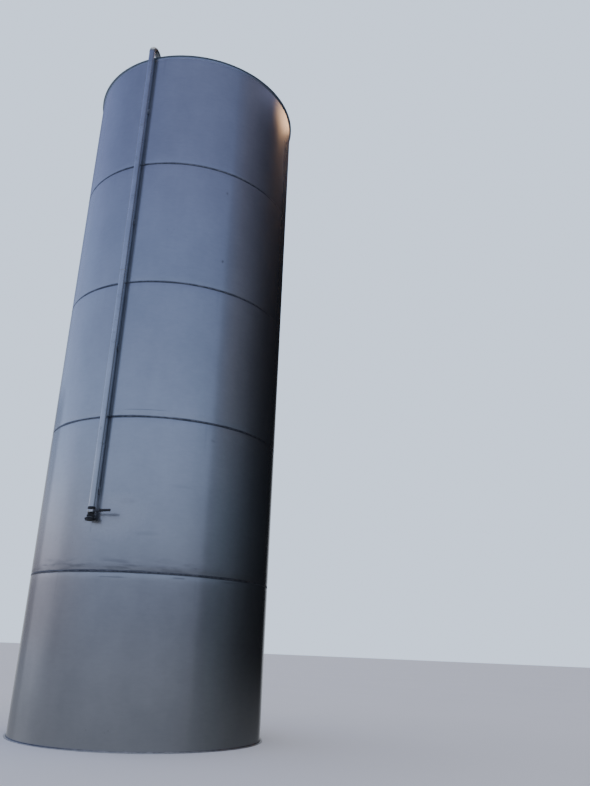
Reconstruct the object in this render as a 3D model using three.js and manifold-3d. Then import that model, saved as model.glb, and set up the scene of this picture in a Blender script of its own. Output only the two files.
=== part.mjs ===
// Vertical storage tank of welded stainless plate, with its fill line, overflow and outlet.
// Millimetres, +Z up, origin at the centre of the base, the fill line on the front at -Y.
import * as THREE from 'three';
import { mergeVertices } from 'three/addons/utils/BufferGeometryUtils.js';
import Module from 'manifold-3d';

const wasm = await Module();
wasm.setup();

// driving dimensions of the shell
const shellDiameter = 2500;
const courseHeight = 1500;
const courseCount = 5;
const plateThickness = 3;
const shellSides = 96;
const seatGap = 0.3;

// bottom plate
const bottomThickness = 6;
const bottomLip = 25;

// rim and roof
const rimHeight = 34;
const rimLeg = 16;
const rimThickness = 4;
const roofSlope = THREE.MathUtils.degToRad(12);
const roofOverhang = 12;
const roofFlat = 5;

// roof manway and vent
const manwayDiameter = 508;
const manwayWall = 4;
const manwayHeight = 150;
const manwayRadius = 620;
const manwayAngle = 130;
const manwaySides = 48;
const lidDiameter = 600;
const lidThickness = 10;
const lidDome = 35;
const ventDiameter = 114;
const ventWall = 3;
const ventHeight = 190;
const hoodDiameter = 240;
const hoodSkirt = 55;
const hoodRise = 45;
const ventWindow = 60;

// fill line
const pipeDiameter = 70;
const pipeStandoff = 56;
const pipeSides = 24;
const bendRadius = 76;
const bendSteps = 20;
const bendRise = 57;
const dropInside = 60;
const socketDiameter = 86;
const socketHeight = 30;

// valve and hose coupling at the foot of the fill line
const valveTop = 2083;
const valveHeight = 88;
const valveBarrelDiameter = 68;
const valveHexAcross = 72;
const valveHexHeight = 20;
const bossDiameter = 26;
const bossReach = 46;
const stemDiameter = 14;
const leverGap = 6;
const leverThickness = 4;
const leverHeight = 26;
const leverTail = 12;
const leverDrop = 37;
const leverBar = 120;
const gripLength = 120;
const gripThickness = 12;
const nutAcross = 19;
const nutThickness = 8;
const adaptorDiameter = 66;
const adaptorHeight = 4;
const capDiameter = 88;
const capHeight = 31;
const camArmWidth = 22;
const camArmThickness = 12;
const camArmHeight = 28;

// overflow line
const overflowTurn = -75;
const overflowDiameter = 33.7;
const overflowStandoff = 50;
const overflowSides = 16;
const elbowSteps = 8;
const overflowTop = 7206;
const overflowBend = 34;
const overflowFoot = 100;
const elbowDiameter = 42;
const elbowSocket = 24;

// outlet low on the back
const outletHeight = 260;
const outletDiameter = 88.9;
const outletWall = 3;
const outletReach = 140;
const flangeDiameter = 200;
const flangeThickness = 18;
const outletSides = 32;

// worked out from the driving dimensions
const shellRadius = shellDiameter / 2;
const shellTop = bottomThickness + courseCount * courseHeight;
const facetRadius = shellRadius * Math.cos(Math.PI / shellSides);
const roofTurn = shellRadius - roofFlat;
const rimTop = shellTop + rimHeight;
const roofPeak = rimTop + roofTurn * Math.tan(roofSlope);
const pipeRadius = pipeDiameter / 2;
const pipeAxis = shellRadius + pipeStandoff;
const dropAxis = pipeAxis - 2 * bendRadius;
const bendFoot = rimTop + bendRise;
const overflowAxis = shellRadius + overflowStandoff;
const valveFoot = valveTop - valveHeight;
const leverLevel = valveTop - leverDrop;
const leverBack = pipeAxis + bossReach + leverGap;

const stainless = { color: 0x8794a3, roughness: 0.34, metalness: 0.9 };
const paleSteel = { color: 0xa3adb6, roughness: 0.38, metalness: 0.85 };
const darkFitting = { color: 0x3b4046, roughness: 0.6, metalness: 0.5 };
const blackPlastic = { color: 0x15171a, roughness: 0.7, metalness: 0.0 };

const tank = new THREE.Group();

function addPiece(name, geometry, look, parent = tank) {
  const mesh = new THREE.Mesh(geometry, new THREE.MeshStandardMaterial(look));
  mesh.name = name;
  parent.add(mesh);
  return mesh;
}

// a body turned about Z from [radius, height] points, with a flat side towards -Y
function turned(points, sides) {
  const profile = points.map(([radius, height]) => new THREE.Vector2(radius, height));
  const geometry = new THREE.LatheGeometry(profile, sides);
  return geometry.rotateX(Math.PI / 2).rotateZ(Math.PI / sides);
}

function disc(radius, low, high, sides) {
  return turned([[0, low], [radius, low], [radius, high], [0, high]], sides);
}

function ring(inner, outer, low, high, sides) {
  return turned([[inner, low], [outer, low], [outer, high], [inner, high], [inner, low]], sides);
}

function box(sizeX, sizeY, sizeZ, x, y, z) {
  return new THREE.BoxGeometry(sizeX, sizeY, sizeZ).translate(x, y, z);
}

// a flat outline in X and Y raised along Z
function raised(outline, low, high) {
  const shape = new THREE.Shape(outline.map(([x, y]) => new THREE.Vector2(x, y)));
  const geometry = new THREE.ExtrudeGeometry(shape, { depth: high - low, bevelEnabled: false });
  return geometry.translate(0, 0, low);
}

function toSolid(geometry) {
  const bare = geometry.clone();
  bare.deleteAttribute('normal');
  bare.deleteAttribute('uv');
  const merged = mergeVertices(bare, 1e-3);
  const vertProperties = new Float32Array(merged.attributes.position.array);
  const triVerts = new Uint32Array(merged.index.array);
  return new wasm.Manifold(new wasm.Mesh({ numProp: 3, vertProperties, triVerts }));
}

function toGeometry(solid) {
  const mesh = solid.getMesh();
  const geometry = new THREE.BufferGeometry();
  geometry.setAttribute('position', new THREE.BufferAttribute(new Float32Array(mesh.vertProperties), 3));
  geometry.setIndex(new THREE.BufferAttribute(new Uint32Array(mesh.triVerts), 1));
  return geometry;
}

function cut(geometry, ...tools) {
  return toGeometry(tools.reduce((solid, tool) => solid.subtract(toSolid(tool)), toSolid(geometry)));
}

function join(geometry, ...others) {
  return toGeometry(others.reduce((solid, other) => solid.add(toSolid(other)), toSolid(geometry)));
}

// half circle in the plane of Y and Z, from the riser over the rim to the drop
class ReturnArc extends THREE.Curve {
  getPoint(t, target = new THREE.Vector3()) {
    const angle = Math.PI * t;
    const middle = (pipeAxis + dropAxis) / 2;
    return target.set(0, -middle - bendRadius * Math.cos(angle), bendFoot + bendRadius * Math.sin(angle));
  }

  getTangent(t, target = new THREE.Vector3()) {
    const angle = Math.PI * t;
    return target.set(0, Math.sin(angle), Math.cos(angle));
  }
}

// quarter circle in the plane of Y and Z, from level and outwards to straight down
class ElbowArc extends THREE.Curve {
  getPoint(t, target = new THREE.Vector3()) {
    const angle = Math.PI / 2 * t;
    const start = overflowAxis - overflowBend;
    const level = overflowTop - overflowBend;
    return target.set(0, -start - overflowBend * Math.sin(angle), level + overflowBend * Math.cos(angle));
  }

  getTangent(t, target = new THREE.Vector3()) {
    const angle = Math.PI / 2 * t;
    return target.set(0, -Math.cos(angle), -Math.sin(angle));
  }
}

function rodAlong(path, radius, sides, steps) {
  const section = new THREE.Shape();
  for (let i = 0; i < sides; i += 1) {
    const angle = 2 * Math.PI * (i + 0.5) / sides;
    const [x, y] = [radius * Math.cos(angle), radius * Math.sin(angle)];
    if (i === 0) section.moveTo(x, y);
    else section.lineTo(x, y);
  }
  section.closePath();
  return new THREE.ExtrudeGeometry(section, { extrudePath: path, steps, bevelEnabled: false });
}

// everything under the roof's upper face, raised by a gap
function underRoof(gap) {
  return turned([
    [0, shellTop - courseHeight],
    [shellRadius + rimLeg, shellTop - courseHeight],
    [shellRadius + rimLeg, rimTop + plateThickness + gap],
    [roofTurn, rimTop + plateThickness + gap],
    [0, roofPeak + plateThickness + gap],
  ], shellSides);
}

// bottom plate and shell courses
addPiece('bottom_plate', disc(shellRadius + bottomLip, 0, bottomThickness, shellSides), stainless);

// a body turned about Z laid down to point at the front, at a height
function facingFront(geometry, height) {
  return geometry.rotateX(Math.PI / 2).translate(0, 0, height);
}

const outletBore = facingFront(
  disc(outletDiameter / 2 + seatGap, shellRadius - outletReach, shellRadius + outletReach, outletSides),
  outletHeight,
).rotateZ(Math.PI);

for (let i = 0; i < courseCount; i += 1) {
  const low = bottomThickness + i * courseHeight;
  const wall = ring(shellRadius - plateThickness, shellRadius, low, low + courseHeight, shellSides);
  addPiece(`shell_course_${i + 1}`, i === 0 ? cut(wall, outletBore) : wall, stainless);
}

// rolled angle that stands on the top course, its short leg turned out under the roof's edge
addPiece('rim_angle', turned([
  [shellRadius - plateThickness, shellTop],
  [shellRadius, shellTop],
  [shellRadius, rimTop - rimThickness],
  [shellRadius + rimLeg, rimTop - rimThickness],
  [shellRadius + rimLeg, rimTop],
  [shellRadius - plateThickness, rimTop],
  [shellRadius - plateThickness, shellTop],
], shellSides), stainless);

// coned roof with holes for the fill drop, the manway and the vent
const manwayPlace = new THREE.Vector2(manwayRadius, 0)
  .rotateAround(new THREE.Vector2(), THREE.MathUtils.degToRad(manwayAngle));
const roofPlate = turned([
  [0, roofPeak],
  [roofTurn, rimTop],
  [shellRadius + roofOverhang, rimTop],
  [shellRadius + roofOverhang, rimTop + plateThickness],
  [roofTurn, rimTop + plateThickness],
  [0, roofPeak + plateThickness],
], shellSides);
addPiece('roof_cone', cut(
  roofPlate,
  disc(pipeRadius + seatGap, shellTop - 50, roofPeak, pipeSides).translate(0, -dropAxis, 0),
  disc(manwayDiameter / 2 - manwayWall, shellTop, roofPeak + 100, manwaySides)
    .translate(manwayPlace.x, manwayPlace.y, 0),
  disc(ventDiameter / 2 - ventWall, shellTop, roofPeak + 100, pipeSides),
), stainless);

// roof manway, its neck cut to the slope
const manwayTop = roofPeak - manwayRadius * Math.tan(roofSlope) + manwayHeight;
addPiece('roof_manway_neck', cut(
  ring(manwayDiameter / 2 - manwayWall, manwayDiameter / 2, shellTop, manwayTop, manwaySides)
    .translate(manwayPlace.x, manwayPlace.y, 0),
  underRoof(seatGap),
), stainless);
addPiece('roof_manway_lid', turned([
  [0, manwayTop],
  [lidDiameter / 2, manwayTop],
  [lidDiameter / 2, manwayTop + lidThickness],
  [lidDiameter / 2 - 50, manwayTop + lidThickness],
  [lidDiameter / 2 - 110, manwayTop + lidThickness + lidDome * 0.6],
  [lidDiameter / 2 - 190, manwayTop + lidThickness + lidDome * 0.9],
  [0, manwayTop + lidThickness + lidDome],
], manwaySides).translate(manwayPlace.x, manwayPlace.y, 0), stainless);

// vent at the peak under a hood
const ventTop = roofPeak + ventHeight;
const windowLevel = ventTop - ventWindow / 2 - ventWall;
addPiece('vent_neck', cut(
  ring(ventDiameter / 2 - ventWall, ventDiameter / 2, shellTop, ventTop, pipeSides),
  underRoof(seatGap),
  box(hoodDiameter, ventWindow, ventWindow, 0, 0, windowLevel),
  box(ventWindow, hoodDiameter, ventWindow, 0, 0, windowLevel),
), stainless);
addPiece('vent_hood', turned([
  [0, ventTop],
  [hoodDiameter / 2 - plateThickness, ventTop],
  [hoodDiameter / 2 - plateThickness, ventTop - hoodSkirt],
  [hoodDiameter / 2, ventTop - hoodSkirt],
  [hoodDiameter / 2, ventTop + plateThickness],
  [0, ventTop + hoodRise],
], manwaySides), stainless);

// fill line from the valve up the front, over the rim and down through the roof
addPiece('fill_pipe', disc(pipeRadius, valveTop, bendFoot, pipeSides).translate(0, -pipeAxis, 0), paleSteel);
addPiece('fill_pipe_return_bend', rodAlong(new ReturnArc(), pipeRadius, pipeSides, bendSteps), paleSteel);
addPiece(
  'fill_pipe_drop',
  disc(pipeRadius, rimTop - dropInside, bendFoot, pipeSides).translate(0, -dropAxis, 0),
  paleSteel,
);
addPiece('fill_pipe_roof_socket', cut(
  ring(pipeRadius + seatGap, socketDiameter / 2, rimTop, rimTop + plateThickness + socketHeight, pipeSides)
    .translate(0, -dropAxis, 0),
  underRoof(seatGap),
), paleSteel);

// a short T bar that holds a pipe off the shell, its head against the shell
function standoff(width, thickness, back, reach, height, level) {
  const outline = [
    [-width / 2, -back], [-width / 2, -back - thickness],
    [-thickness / 2, -back - thickness], [-thickness / 2, -reach],
    [thickness / 2, -reach], [thickness / 2, -back - thickness],
    [width / 2, -back - thickness], [width / 2, -back],
  ];
  return raised(outline, level - height / 2, level + height / 2);
}

const pipeFlat = pipeRadius * Math.cos(Math.PI / pipeSides);
for (let i = 1; i < courseCount; i += 1) {
  const level = bottomThickness + (i + 0.5) * courseHeight;
  addPiece(`fill_pipe_bracket_${i}`, standoff(50, 5, facetRadius, pipeAxis - pipeFlat, 60, level), stainless);
}

// quarter turn valve in the fill line, its stem pointing out to the front
function hexagon(across, low, high) {
  return disc(across / Math.sqrt(3), low, high, 6);
}

function frontRod(diameter, back, front, sides) {
  return facingFront(disc(diameter / 2, back, front, sides), leverLevel);
}

const valveBody = join(
  disc(valveBarrelDiameter / 2, valveFoot, valveTop, pipeSides).translate(0, -pipeAxis, 0),
  hexagon(valveHexAcross, valveTop - valveHexHeight, valveTop).translate(0, -pipeAxis, 0),
  hexagon(valveHexAcross, valveFoot, valveFoot + valveHexHeight).translate(0, -pipeAxis, 0),
  frontRod(bossDiameter, pipeAxis, pipeAxis + bossReach, pipeSides),
);
addPiece('valve_body', valveBody, blackPlastic);

addPiece('valve_stem', frontRod(stemDiameter, pipeAxis + bossReach + seatGap, leverBack, 16), paleSteel);

function leverOutline() {
  const shape = new THREE.Shape();
  const half = leverHeight / 2;
  shape.moveTo(leverBar, -half);
  shape.lineTo(leverBar, half);
  shape.lineTo(-leverTail + half, half);
  shape.absarc(-leverTail + half, 0, half, Math.PI / 2, Math.PI * 1.5, false);
  shape.closePath();
  return shape;
}

const leverPlate = new THREE.ExtrudeGeometry(leverOutline(), {
  depth: leverThickness, bevelEnabled: false, curveSegments: 8,
}).rotateX(Math.PI / 2).translate(0, -leverBack, leverLevel);
addPiece('valve_lever', leverPlate, paleSteel);

const nutBack = leverBack + leverThickness;
const nut = facingFront(hexagon(nutAcross, nutBack, nutBack + nutThickness), leverLevel);
addPiece('valve_lever_nut', nut, paleSteel);

addPiece('valve_lever_grip', box(
  gripLength, gripThickness, leverHeight,
  leverBar + gripLength / 2, -leverBack - leverThickness / 2, leverLevel,
), blackPlastic);

// hose coupling closed by a cap with two cam arms
const adaptorFoot = valveFoot - adaptorHeight;
addPiece(
  'hose_adaptor',
  disc(adaptorDiameter / 2, adaptorFoot, valveFoot, pipeSides).translate(0, -pipeAxis, 0),
  paleSteel,
);
addPiece(
  'coupling_cap',
  disc(capDiameter / 2, adaptorFoot - capHeight, adaptorFoot, pipeSides).translate(0, -pipeAxis, 0),
  blackPlastic,
);
for (const [name, side] of [['cam_arm_left', -1], ['cam_arm_right', 1]]) {
  addPiece(name, box(
    camArmThickness, camArmWidth, camArmHeight,
    side * (capDiameter / 2 + camArmThickness / 2), -pipeAxis, adaptorFoot - capHeight / 2,
  ), blackPlastic);
}

// overflow line round towards the left, in a group turned about the tank's axis
const overflow = new THREE.Group();
overflow.rotation.z = THREE.MathUtils.degToRad(overflowTurn);
tank.add(overflow);
const elbowFoot = overflowTop - overflowBend - elbowSocket;
addPiece('overflow_elbow', join(
  rodAlong(new ElbowArc(), elbowDiameter / 2, overflowSides, elbowSteps),
  facingFront(
    disc(elbowDiameter / 2, facetRadius + seatGap, overflowAxis - overflowBend, overflowSides),
    overflowTop,
  ),
  disc(elbowDiameter / 2, elbowFoot, overflowTop - overflowBend, overflowSides)
    .translate(0, -overflowAxis, 0),
), darkFitting, overflow);
addPiece(
  'overflow_pipe',
  disc(overflowDiameter / 2, overflowFoot, elbowFoot, overflowSides).translate(0, -overflowAxis, 0),
  paleSteel,
  overflow,
);
const overflowFlat = overflowDiameter / 2 * Math.cos(Math.PI / overflowSides);
for (let i = 0; i < courseCount; i += 1) {
  const level = bottomThickness + (i + 0.5) * courseHeight;
  const bar = standoff(40, 4, facetRadius + seatGap, overflowAxis - overflowFlat - seatGap, 40, level);
  addPiece(`overflow_bracket_${i + 1}`, bar, stainless, overflow);
}

// outlet nozzle low on the back, closed by a blind flange
const outlet = new THREE.Group();
outlet.rotation.z = Math.PI;
tank.add(outlet);
const flangeBack = shellRadius + outletReach - flangeThickness;
const flangeFace = shellRadius + outletReach;
addPiece('outlet_nozzle', facingFront(ring(
  outletDiameter / 2 - outletWall, outletDiameter / 2,
  shellRadius - plateThickness - outletWall, flangeFace, outletSides,
), outletHeight), stainless, outlet);
addPiece('outlet_flange', facingFront(ring(
  outletDiameter / 2 + seatGap, flangeDiameter / 2, flangeBack, flangeFace, outletSides,
), outletHeight), stainless, outlet);
addPiece('outlet_blind_flange', facingFront(
  disc(flangeDiameter / 2, flangeFace + seatGap, flangeFace + seatGap + flangeThickness, outletSides),
  outletHeight,
), stainless, outlet);

export default tank;
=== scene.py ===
import math

import bmesh
import bpy
from mathutils import Matrix, Vector, noise


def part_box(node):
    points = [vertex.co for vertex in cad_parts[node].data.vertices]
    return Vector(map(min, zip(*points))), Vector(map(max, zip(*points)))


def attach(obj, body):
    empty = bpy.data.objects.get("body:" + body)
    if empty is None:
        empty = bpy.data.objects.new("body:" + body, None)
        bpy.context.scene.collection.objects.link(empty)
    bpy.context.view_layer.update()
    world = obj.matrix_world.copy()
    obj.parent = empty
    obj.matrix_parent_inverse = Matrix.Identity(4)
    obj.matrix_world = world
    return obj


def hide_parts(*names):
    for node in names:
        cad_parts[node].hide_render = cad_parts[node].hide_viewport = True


# Welded stainless storage tank with its fill line, overflow and outlet, in metres.
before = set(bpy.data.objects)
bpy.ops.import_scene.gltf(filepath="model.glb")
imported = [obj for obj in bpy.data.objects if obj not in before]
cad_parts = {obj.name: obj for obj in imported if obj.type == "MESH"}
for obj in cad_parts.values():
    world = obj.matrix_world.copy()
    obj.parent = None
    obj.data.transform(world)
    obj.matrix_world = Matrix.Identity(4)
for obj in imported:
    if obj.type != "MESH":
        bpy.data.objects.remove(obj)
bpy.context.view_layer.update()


# Camera at the height and distance that the weld arcs and the outlines give
cameraView = {
    "frameHeight": 786,      # pixels on the long side
    "focalPixels": 723.5,
    "sensor": 36,
    "clipEnd": 500,
    "place": (3.9805, -7.2031, 0.889),
    "turnRight": 10.245,     # degrees from the tank's axis to the middle of the picture
    "pitchUp": 19.51,
    "roll": 2.33,
}


def makeCamera():
    c = cameraView
    data = bpy.data.cameras.new("camera")
    data.sensor_width = c["sensor"]
    data.lens = c["focalPixels"] / c["frameHeight"] * data.sensor_width
    data.clip_end = c["clipEnd"]
    camera = bpy.data.objects.new("camera", data)
    bpy.context.collection.objects.link(camera)
    x, y, z = c["place"]
    heading = math.atan2(x, -y) - math.radians(c["turnRight"])
    turn = Matrix.Rotation(heading, 4, "Z") @ Matrix.Rotation(math.radians(90 + c["pitchUp"]), 4, "X")
    roll = Matrix.Rotation(math.radians(c["roll"]), 4, "Z")
    camera.matrix_world = Matrix.Translation((x, y, z)) @ turn @ roll
    bpy.context.scene.camera = camera


makeCamera()
print("camera set")


# Shader sockets and looks
class Wire:
    def __init__(self, look, socket):
        self.look = look
        self.socket = socket

    def maths(self, operation, other=0.0, flipped=False):
        kind = "ShaderNodeVectorMath" if self.socket.type == "VECTOR" else "ShaderNodeMath"
        first, second = (other, self) if flipped else (self, other)
        return self.look.add(kind, {"operation": operation}, {0: first, 1: second})

    def __add__(self, other):
        return self.maths("ADD", other)

    def __sub__(self, other):
        return self.maths("SUBTRACT", other)

    def __rsub__(self, other):
        return self.maths("SUBTRACT", other, True)

    def __mul__(self, other):
        return self.maths("MULTIPLY", other)

    def __truediv__(self, other):
        return self.maths("DIVIDE", other)

    def __rtruediv__(self, other):
        return self.maths("DIVIDE", other, True)

    def __abs__(self):
        return self.maths("ABSOLUTE")

    __radd__, __rmul__ = __add__, __mul__


class Look:
    def __init__(self, tree):
        self.tree = tree
        tree.nodes.clear()

    def add(self, kind, settings=None, sockets=None, out=0):
        node = self.tree.nodes.new(kind)
        for name, value in (settings or {}).items():
            if name == "stops":
                self.setStops(node.color_ramp, value)
            else:
                setattr(node, name, value)
        for name, value in (sockets or {}).items():
            if isinstance(value, Wire):
                self.tree.links.new(value.socket, node.inputs[name])
            else:
                node.inputs[name].default_value = value
        return Wire(self, node.outputs[out]) if node.outputs else node

    def setStops(self, ramp, stops):
        while len(ramp.elements) < len(stops):
            ramp.elements.new(0.5)
        for element, (place, tone) in zip(ramp.elements, stops):
            element.position = place
            element.color = (*tone, 1)

    def parts(self, vector):
        node = self.add("ShaderNodeSeparateXYZ", sockets={0: vector}).socket.node
        return [Wire(self, output) for output in node.outputs]

    def length(self, vector):
        return self.add("ShaderNodeVectorMath", {"operation": "LENGTH"}, {0: vector}, out=1)

    def cloud(self, scale, detail=3.0, rough=0.55, stretch=(1, 1, 1)):
        return self.add("ShaderNodeTexNoise", sockets={
            "Vector": self.place * stretch, "Scale": scale, "Detail": detail, "Roughness": rough,
        })

    def fade(self, value, low, high, start=0.0, end=1.0):
        return self.add("ShaderNodeMapRange", {"interpolation_type": "SMOOTHSTEP"}, {
            "Value": value, "From Min": low, "From Max": high, "To Min": start, "To Max": end,
        })

    def mix(self, amount, first, second, mode="MIX"):
        return self.add("ShaderNodeMix", {"data_type": "RGBA", "blend_type": mode}, {
            0: amount, 6: first, 7: second,
        }, out=2)

    def bump(self, height, strength, distance):
        return self.add("ShaderNodeBump", sockets={
            "Height": height, "Strength": strength, "Distance": distance,
        })

    def shader(self, sockets):
        return self.add("ShaderNodeBsdfPrincipled", sockets=sockets)

    def close(self, surface):
        self.add("ShaderNodeOutputMaterial", sockets={"Surface": surface})
        return self.material

    def finish(self, base, metallic, roughness, scale, detail, strength, depth):
        # one shader with fine bumps
        return self.close(self.shader({
            "Base Color": base, "Metallic": metallic, "Roughness": roughness,
            "Normal": self.bump(self.cloud(scale, detail), strength, depth),
        }))


def colour(red, green, blue):
    return (red, green, blue, 1.0)


def newLook(name):
    material = bpy.data.materials.new(name)
    material.use_nodes = True
    look = Look(material.node_tree)
    look.material = material
    look.place = look.add("ShaderNodeTexCoord", out="Object")
    return look


# Sizes taken from the frame
courses = 5
shellRadius = 1.25
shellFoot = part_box("shell_course_1")[0].z
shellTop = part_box(f"shell_course_{courses}")[1].z
courseHeight = (shellTop - shellFoot) / courses
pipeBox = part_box("fill_pipe")
pipeAxisY = (pipeBox[0].y + pipeBox[1].y) / 2
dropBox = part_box("fill_pipe_drop")
dropAxisY = (dropBox[0].y + dropBox[1].y) / 2
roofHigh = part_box("roof_cone")[1].z
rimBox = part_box("rim_angle")
rimTop = rimBox[1].z
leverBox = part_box("valve_lever")
leverLevel = (leverBox[0].z + leverBox[1].z) / 2
lap = 0.001                  # how far joined parts run into each other
print("sizes read")


# Stainless plate of the shell, dulled a little, with dark welds
plateLook = {
    "dull": colour(0.455, 0.475, 0.505),
    "bright": colour(0.565, 0.585, 0.615),
    "rubbed": colour(0.64, 0.66, 0.69),
    "seam": colour(0.13, 0.145, 0.18),
    "grime": colour(0.22, 0.23, 0.25),
    "roughness": 0.145,
    "haze": 0.28,            # share of the hazy gloss, and the most of it
    "mostHaze": 0.85,
    "hazeRoughness": 0.45,
    "anisotropy": 0.2,
    "anisotropyTurn": 0.25,  # the finish runs round the shell, so gloss spreads up and down
    "waveStrength": 0.35,
    "waveDepth": 0.004,
    "seamHalf": 0.010,       # half of the dark line's height, and its soft edge
    "seamSoft": 0.007,
    "lowSmearHigh": 0.16,        # height of the dark smear over the lowest weld
    "lowSmear": 0.55,           # strength of each dark mark
    "underWeld": 0.5,
    "besideWelds": 0.35,
    "runs": 0.15,
    "footDarkening": 0.45,
    "spots": 0.4,
    "rubbedShare": 0.7,
    "rubbedPlace": (0.16, -1.24, 2.02),  # beside the valve
    "rubbedSpread": (2.6, 1.2, 4.2),
    # share of each noise in the tone
    "tone": {"broad": 0.34, "blotch": 0.24, "streak": 0.10, "mottle": 0.22, "grain": 0.10},
    # noise: scale, detail, roughness, stretch
    "clouds": {
        "broad": (1.3, 3), "blotch": (4.5, 4, 0.6, (1, 1, 0.6)), "streak": (7, 3, 0.5, (1, 1, 0.04)),
        "mottle": (13, 4, 0.65, (1, 1, 2.4)), "grain": (7, 3, 0.5, (1, 1, 34)), "edge": (14, 4, 0.6),
        "patch": (3.5, 4, 0.6), "smear": (4.2, 5, 0.68, (1, 1, 6)), "under": (2.6, 2),
        "beside": (4, 4, 0.6, (1, 1, 14)), "runs": (16, 3, 0.5, (1, 1, 0.02)), "spots": (2.2, 2),
        "wave": (1.1, 2, 0.5, (1, 1, 0.7)),
    },
    # stains: angle, height, half width, half height, strength
    "stains": [
        (-75.5, 2.159, 0.085, 0.030, 0.22), (-42.4, 5.74, 0.011, 0.016, 0.8),
        (-42.0, 4.866, 0.011, 0.016, 0.8), (-77.6, 1.454, 0.13, 0.006, 0.6),
        (-71.8, 3.078, 0.30, 0.0045, 0.5), (-39.5, 2.834, 0.03, 0.006, 0.6),
        (-91.0, 1.905, 0.006, 0.05, 0.5), (-66.0, 1.86, 0.14, 0.02, 0.12),
        (-52.0, 2.33, 0.10, 0.018, 0.12),
    ],
}


def makePlate():
    look, s = newLook("stainlessPlate"), plateLook
    p, fade = look.place, look.fade
    x, z = look.parts(p)[::2]
    noises = {name: look.cloud(*values) for name, values in s["clouds"].items()}
    blotch, streak, edge = noises["blotch"] - 0.5, noises["streak"] - 0.5, noises["edge"] - 0.5
    tone = sum(fade(noises[name], 0.3, 0.7) * share for name, share in s["tone"].items())
    base = look.mix(tone, s["dull"], s["bright"])
    # dark line along each weld, by the distance to the nearest one
    fromWeld = look.add("ShaderNodeMath", {"operation": "PINGPONG"}, {
        0: z - shellFoot + 1e-4, 1: courseHeight / 2,
    })
    inShell = fade(z, shellFoot + 0.3, shellFoot + 0.4) * fade(z, shellTop - 0.3, shellTop - 0.4)
    weldLine = fade(fromWeld + edge * 0.012, s["seamHalf"] + s["seamSoft"], s["seamHalf"])
    weldLine = weldLine * inShell * fade(noises["patch"], 0.3, 0.6, 0.45, 1.0)
    # a dark smear drawn out sideways over the lowest weld, and faint marks beside the others
    overLow = z - (shellFoot + courseHeight)
    lowSmear = fade(overLow, 0.0, 0.02) * fade(overLow, s["lowSmearHigh"], 0.05) * fade(x, 1.05, 0.8, 0.35, 1.0)
    lowSmear = fade(noises["smear"], 0.44, 0.62) * lowSmear
    underWeld = fade(abs(overLow + 0.035), 0.012, 0.004) * fade(noises["under"], 0.55, 0.62)
    beside = fade(noises["beside"], 0.6, 0.7) * fade(fromWeld, 0.10, 0.0) * inShell
    smudge = lowSmear * s["lowSmear"] + underWeld * s["underWeld"] + beside * s["besideWelds"]
    for degrees, level, halfWide, halfHigh, strength in s["stains"]:
        angle = math.radians(degrees)
        middle = (shellRadius * math.cos(angle), shellRadius * math.sin(angle), level)
        away = look.length((p - middle) * (1 / halfWide, 1 / halfWide, 1 / halfHigh))
        smudge = smudge + fade(away + edge * 1.2, 1.2, 0.6) * strength
    base = look.mix(smudge, base, s["grime"])
    # faint runs of dirt down from each weld, darkening towards the foot, and small spots
    below = look.add("ShaderNodeMath", {"operation": "FRACT"}, {0: (z - shellFoot) / courseHeight})
    runs = fade(noises["runs"], 0.6, 0.75) * fade(below, 0.7, 1.0)
    footDarkening = fade(z + blotch * 0.4, 0.9, 0.05)
    cells = look.add("ShaderNodeTexVoronoi", {"feature": "F1"}, {"Vector": p, "Scale": 12.0})
    spots = fade(cells, 0.10, 0.04) * fade(noises["spots"], 0.6, 0.66)
    for mask, strength in ((runs, s["runs"]), (footDarkening, s["footDarkening"]), (spots, s["spots"])):
        base = look.mix(mask * strength, base, s["grime"])
    base = look.mix(weldLine, base, s["seam"])
    # plate rubbed dull by hands beside the valve
    away = look.length((p - s["rubbedPlace"]) * s["rubbedSpread"])
    rubbed = fade(away + blotch * 0.9, 1.1, 0.45)
    base = look.mix(rubbed * s["rubbedShare"], base, s["rubbed"])
    rough = s["roughness"] + blotch * 0.04 + streak * 0.03 - fade(z, 5.6, 7.0) * 0.035
    normal = look.bump(noises["wave"], s["waveStrength"], s["waveDepth"])
    # a clear gloss mixed with a hazy one, as on milled plate
    clear = look.shader({
        "Base Color": base, "Metallic": 1.0, "Roughness": rough, "Normal": normal,
        "Anisotropic": s["anisotropy"], "Anisotropic Rotation": s["anisotropyTurn"],
    })
    hazy = look.shader({
        "Base Color": base, "Metallic": 1.0, "Roughness": s["hazeRoughness"], "Normal": normal,
    })
    haze = rubbed * (0.42 + (noises["mottle"] - 0.5) * 0.3) + footDarkening * 0.35 + smudge * 0.3 + weldLine * 0.4
    share = look.add("ShaderNodeMath", {"operation": "MINIMUM"}, {0: haze + s["haze"], 1: s["mostHaze"]})
    return look.close(look.add("ShaderNodeMixShader", sockets={0: share, 1: clear, 2: hazy}))


steelGrime = {"colour": colour(0.12, 0.13, 0.14), "share": 0.4}
# dull and bright colour, roughness, strength of the fine bumps
steelLook = {
    "roofSteel": (colour(0.42, 0.44, 0.47), colour(0.54, 0.56, 0.59), 0.36, 0.08),
    "pipeSteel": (colour(0.50, 0.52, 0.545), colour(0.64, 0.66, 0.69), 0.22, 0.02),
    # a darker copy of the pipe's steel, painted shade on the bend, drop and socket
    "shadedBendSteel": (colour(0.29, 0.31, 0.32), colour(0.38, 0.40, 0.41), 0.44, 0.03),
    "barSteel": (colour(0.42, 0.44, 0.47), colour(0.56, 0.58, 0.61), 0.42, 0.08),
    "leverSteel": (colour(0.55, 0.56, 0.57), colour(0.70, 0.71, 0.72), 0.3, 0.08),
    "flangeSteel": (colour(0.38, 0.40, 0.43), colour(0.50, 0.52, 0.55), 0.38, 0.08),
    "pipeWeld": (colour(0.22, 0.23, 0.25), colour(0.42, 0.43, 0.45), 0.42, 0.08),
}


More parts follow.
